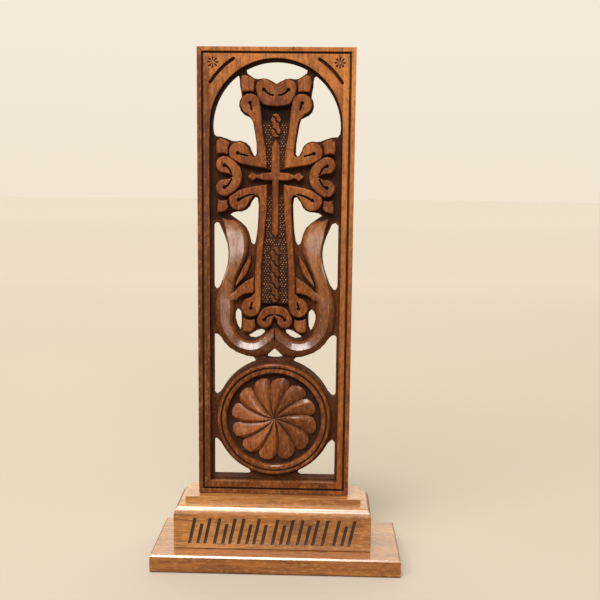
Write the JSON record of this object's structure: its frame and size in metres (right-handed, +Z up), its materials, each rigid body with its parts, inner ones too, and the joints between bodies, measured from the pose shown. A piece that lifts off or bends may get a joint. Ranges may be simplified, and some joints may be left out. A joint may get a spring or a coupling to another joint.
{
  "type": "carved wooden khachkar",
  "caption": "Openwork carved wooden board with an arched cross over leaf scrolls and a whirl rosette, set upright on a moulded block and a plain bottom plate.",
  "frame": {"origin": "middle of the underside of the bottom plate", "axes": "+Z up along the board's height, +X to the right seen from the front, the carved face towards -Y"},
  "size_m": [0.097, 0.038, 0.2],
  "materials": {
    "walnut": "dark reddish brown, satin varnish, nearly black stain in the ground of the carving",
    "honey_wood": "honey brown, streaked grain along the block, satin varnish",
    "russet_wood": "reddish tan, fine grain along the plate, satin varnish"
  },
  "bodies": {
    "root": {"khachkar_panel": "walnut", "base_block": "honey_wood", "base_plate": "russet_wood"}
  },
  "joints": []
}
